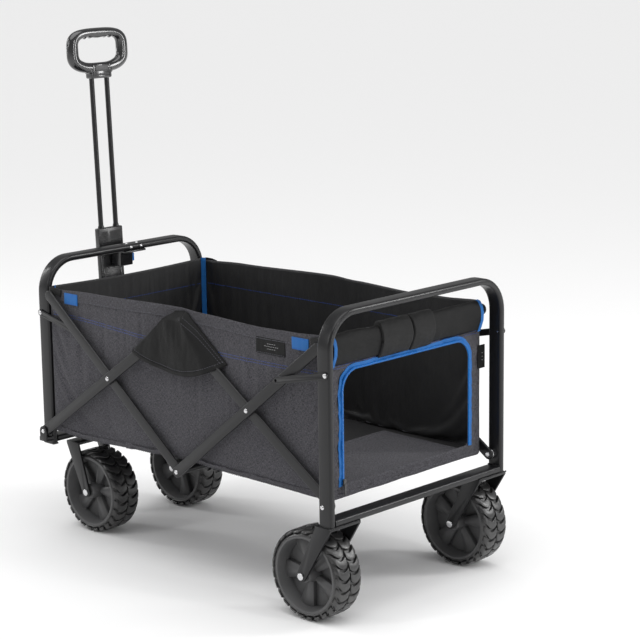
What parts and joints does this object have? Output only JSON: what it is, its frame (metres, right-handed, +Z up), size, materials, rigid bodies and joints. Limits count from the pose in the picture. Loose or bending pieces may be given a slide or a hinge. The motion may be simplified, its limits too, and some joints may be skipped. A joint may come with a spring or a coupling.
{
  "type": "folding beach cart",
  "caption": "Folding beach cart: fabric tub in two bent tube end frames with scissor sides, swivelling front wheels and a telescoping pull handle.",
  "frame": {"origin": "on the ground, under the middle of the whole cart with its handle raised", "axes": "+Z up, +X towards the tailgate, handle at the -X end, left side at -Y"},
  "size_m": [1.0529, 0.584, 1.2017],
  "materials": {
    "powder_coat": "semi-gloss dark grey powder coat",
    "zinc_steel": "zinc plated rivets and bolts",
    "wheel_plastic": "moulded grey wheel plastic",
    "tyre_rubber": "black all-terrain tread",
    "charcoal_cloth": "charcoal heather polyester",
    "black_plastic": "black moulded plastic",
    "blue_plastic": "bright blue"
  },
  "bodies": {
    "front_frame": {"front_frame_tube": "powder_coat", "front_bottom_bar": "powder_coat", "front_foot_caps": "black_plastic", "front_foot_bracket_left": "powder_coat", "front_foot_bracket_right": "powder_coat", "caster_plate_left": "powder_coat", "caster_plate_right": "powder_coat", "front_frame_rivets": "zinc_steel", "tub_side_left": "charcoal_cloth", "tub_side_right": "charcoal_cloth", "tub_front_panel": "charcoal_cloth", "tub_floor": "charcoal_cloth", "tub_rear_panel": "charcoal_cloth", "handle_hinge_bracket": "powder_coat", "handle_pivot_pin": "zinc_steel", "handle_latch_body": "black_plastic"},
    "front_outer_struts": {"front_outer_strut_left": "powder_coat", "front_outer_strut_right": "powder_coat", "front_cross_rivets": "zinc_steel", "top_middle_rivets": "zinc_steel"},
    "front_inner_struts": {"front_inner_strut_left": "powder_coat", "front_inner_strut_right": "powder_coat", "middle_cross_tube": "powder_coat", "lower_middle_rivets": "zinc_steel", "inner_strut_link_rivets": "zinc_steel"},
    "rear_outer_struts": {"rear_outer_strut_left": "powder_coat", "rear_outer_strut_right": "powder_coat", "rear_cross_rivets": "zinc_steel", "outer_strut_link_posts": "zinc_steel"},
    "rear_inner_struts": {"rear_inner_strut_left": "powder_coat", "rear_inner_strut_right": "powder_coat"},
    "rear_frame": {"rear_frame_tube": "powder_coat", "rear_bottom_bar": "powder_coat", "rear_fork_left": "powder_coat", "rear_fork_right": "powder_coat", "rear_axle_bolts": "zinc_steel", "rear_frame_rivets": "zinc_steel"},
    "front_links": {"front_link_left": "powder_coat", "front_link_right": "powder_coat"},
    "rear_links": {"rear_link_left": "powder_coat", "rear_link_right": "powder_coat"},
    "handle": {"handle_sheath": "black_plastic"},
    "handle_extension": {"handle_rods": "powder_coat", "handle_grip": "black_plastic"},
    "grip_button": {"grip_button": "black_plastic"},
    "latch_lever": {"handle_latch_lever": "blue_plastic"},
    "tailgate": {"tailgate_flap": "charcoal_cloth"},
    "caster_left": {"caster_fork_left": "powder_coat", "axle_bolt_front_left": "zinc_steel"},
    "wheel_front_left": {"tyre_front_left": "tyre_rubber", "hub_front_left": "wheel_plastic"},
    "wheel_rear_left": {"tyre_rear_left": "tyre_rubber", "hub_rear_left": "wheel_plastic"},
    "caster_right": {"caster_fork_right": "powder_coat", "axle_bolt_front_right": "zinc_steel"},
    "wheel_front_right": {"tyre_front_right": "tyre_rubber", "hub_front_right": "wheel_plastic"},
    "wheel_rear_right": {"tyre_rear_right": "tyre_rubber", "hub_rear_right": "wheel_plastic"}
  },
  "joints": [
    {"name": "fold", "type": "hinge", "parent": "front_frame", "child": "front_outer_struts", "pos_m": [-0.4355, 0, 0.261], "axis": [0, -1, 0], "range_deg": [0, 40]},
    {"name": "front_cross", "type": "hinge", "parent": "front_outer_struts", "child": "front_inner_struts", "pos_m": [-0.1995, 0, 0.424], "axis": [0, -1, 0], "range_deg": [-77.4, 0]},
    {"name": "lower_middle", "type": "hinge", "parent": "front_inner_struts", "child": "rear_outer_struts", "pos_m": [0.0255, 0, 0.2463], "axis": [0, -1, 0], "range_deg": [0, 74.3]},
    {"name": "rear_cross", "type": "hinge", "parent": "rear_outer_struts", "child": "rear_inner_struts", "pos_m": [0.2505, 0, 0.424], "axis": [0, -1, 0], "range_deg": [-77.4, 0]},
    {"name": "rear_foot", "type": "hinge", "parent": "rear_inner_struts", "child": "rear_frame", "pos_m": [0.4865, 0, 0.261], "axis": [0, -1, 0], "range_deg": [0, 40.5]},
    {"name": "front_link_swing", "type": "hinge", "parent": "front_frame", "child": "front_links", "pos_m": [-0.4505, 0, 0.5425], "axis": [0, -1, 0], "range_deg": [0, 80.29]},
    {"name": "rear_link_swing", "type": "hinge", "parent": "rear_frame", "child": "rear_links", "pos_m": [0.5015, 0, 0.5425], "axis": [0, -1, 0], "range_deg": [-80.29, 0]},
    {"name": "caster_swivel_left", "type": "hinge", "parent": "front_frame", "child": "caster_left", "pos_m": [-0.4235, -0.1395, 0.22], "axis": [0, 0, 1], "continuous": true},
    {"name": "wheel_spin_front_left", "type": "hinge", "parent": "caster_left", "child": "wheel_front_left", "pos_m": [-0.3895, -0.1395, 0.1], "axis": [0, 1, 0], "continuous": true},
    {"name": "wheel_spin_rear_left", "type": "hinge", "parent": "rear_frame", "child": "wheel_rear_left", "pos_m": [0.4265, -0.242, 0.1], "axis": [0, 1, 0], "continuous": true},
    {"name": "caster_swivel_right", "type": "hinge", "parent": "front_frame", "child": "caster_right", "pos_m": [-0.4235, 0.1395, 0.22], "axis": [0, 0, 1], "continuous": true},
    {"name": "wheel_spin_front_right", "type": "hinge", "parent": "caster_right", "child": "wheel_front_right", "pos_m": [-0.3895, 0.1395, 0.1], "axis": [0, 1, 0], "continuous": true},
    {"name": "wheel_spin_rear_right", "type": "hinge", "parent": "rear_frame", "child": "wheel_rear_right", "pos_m": [0.4265, 0.242, 0.1], "axis": [0, 1, 0], "continuous": true},
    {"name": "handle_swing", "type": "hinge", "parent": "front_frame", "child": "handle", "pos_m": [-0.4715, 0, 0.24], "axis": [0, -1, 0], "range_deg": [0, 95]},
    {"name": "handle_slide", "type": "slide", "parent": "handle", "child": "handle_extension", "axis": [-0.0436, 0, 0.999], "range_m": [-0.345, 0]},
    {"name": "grip_button_press", "type": "slide", "parent": "handle_extension", "child": "grip_button", "axis": [-0.999, 0, -0.0436], "range_m": [0, 0.003], "stiffness_N_per_m": 600, "springref_m": -0.003},
    {"name": "latch_push", "type": "slide", "parent": "front_frame", "child": "latch_lever", "axis": [0, -1, 0], "range_m": [0, 0.004], "stiffness_N_per_m": 600, "springref_m": -0.003},
    {"name": "tailgate_swing", "type": "hinge", "parent": "front_frame", "child": "tailgate", "pos_m": [0.4635, 0, 0.2765], "axis": [0, 1, 0], "range_deg": [0, 90]}
  ],
  "couplings": [
    {"joint": "front_cross", "follows": "fold", "ratio": -1.9225},
    {"joint": "lower_middle", "follows": "fold", "ratio": 1.8449},
    {"joint": "rear_cross", "follows": "fold", "ratio": -1.9225},
    {"joint": "rear_foot", "follows": "fold", "ratio": 1},
    {"joint": "front_link_swing", "follows": "fold", "ratio": 1.9947},
    {"joint": "rear_link_swing", "follows": "fold", "ratio": -1.9947}
  ]
}
